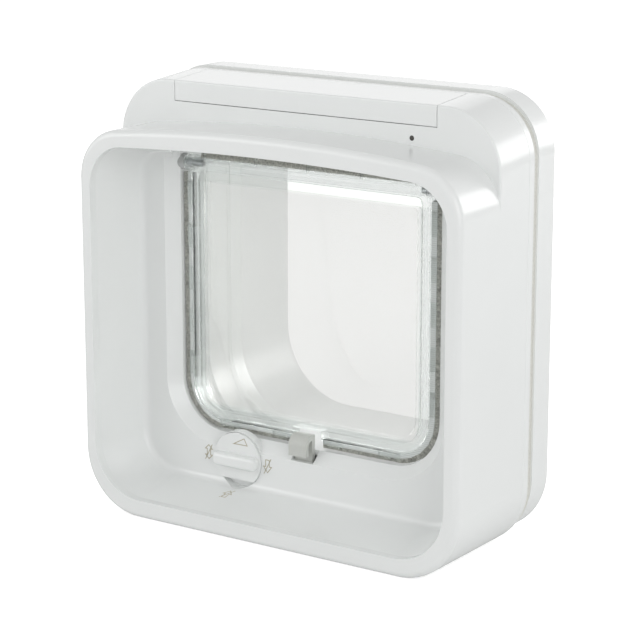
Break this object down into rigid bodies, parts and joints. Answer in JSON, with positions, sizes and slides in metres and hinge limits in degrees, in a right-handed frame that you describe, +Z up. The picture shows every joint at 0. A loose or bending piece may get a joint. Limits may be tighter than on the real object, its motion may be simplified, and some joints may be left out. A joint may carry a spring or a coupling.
{
  "type": "cat flap",
  "caption": "White pet door for a house door: deep hooded inner unit, clear swinging flap with pile edging, rotary lock, battery cover, tunnel through the door and exterior frame.",
  "frame": {"origin": "middle of the door face of the inner unit, at the level of its underside", "axes": "+X to the right seen from the room, +Y through the door to the outside, +Z up"},
  "size_m": [0.21, 0.126, 0.2113],
  "materials": {
    "housing_white": "injection moulded, satin to glossy",
    "dial_white": "injection moulded, satin",
    "inner_white": "injection moulded, plain",
    "clear_flap": "clear moulded plastic",
    "pile_grey": "short dense brush pile",
    "foam_seal": "closed cell foam",
    "latch_grey": "moulded, matte",
    "bush_grey": "low friction moulding",
    "steel_pin": "zinc plated steel",
    "cell_steel": "plain steel can",
    "contact_nickel": "nickel plated",
    "copper_winding": "enamelled copper wire, taped",
    "switch_black": "moulded",
    "lens_dark": "smoked clear",
    "board_green": "solder mask"
  },
  "bodies": {
    "unit": {"front_housing": "housing_white", "rear_housing": "housing_white", "exterior_frame": "housing_white", "weather_seal": "foam_seal", "hinge_bushes": "bush_grey", "solenoid_yoke": "steel_pin", "solenoid_winding": "copper_winding", "detent_spring": "steel_pin", "battery_tray": "inner_white", "battery_cells": "cell_steel", "battery_contacts": "contact_nickel", "learn_switch": "switch_black", "light_guide": "lens_dark", "indicator_board": "board_green", "control_board": "board_green", "antenna_coil": "copper_winding", "fixing_screws": "steel_pin", "screw_caps": "dial_white", "housing_screws": "steel_pin"},
    "flap": {"flap_panel": "clear_flap", "pile_left": "pile_grey", "pile_right": "pile_grey", "top_pile": "pile_grey", "hinge_pins": "steel_pin"},
    "latch": {"latch_tongue": "latch_grey", "latch_plunger": "steel_pin"},
    "dial": {"lock_dial": "dial_white", "detent_cam": "bush_grey"},
    "cover": {"battery_cover": "housing_white"},
    "button": {"learn_button": "latch_grey"}
  },
  "joints": [
    {"name": "flap_swing", "type": "hinge", "parent": "unit", "child": "flap", "pos_m": [0, -0.0227, 0.1682], "axis": [1, 0, 0], "range_deg": [-82, 85]},
    {"name": "latch_lift", "type": "slide", "parent": "unit", "child": "latch", "axis": [0, 0, 1], "range_m": [0, 0.0045]},
    {"name": "dial_turn", "type": "hinge", "parent": "unit", "child": "dial", "pos_m": [-0.036, -0.0313, 0.0279], "axis": [0, -1, 0], "range_deg": [-90, 180]},
    {"name": "cover_lift", "type": "slide", "parent": "unit", "child": "cover", "axis": [0, 0, 1], "range_m": [0, 0.03]},
    {"name": "button_press", "type": "slide", "parent": "unit", "child": "button", "axis": [0, 0, -1], "range_m": [0, 0.001], "stiffness_N_per_m": 500}
  ]
}
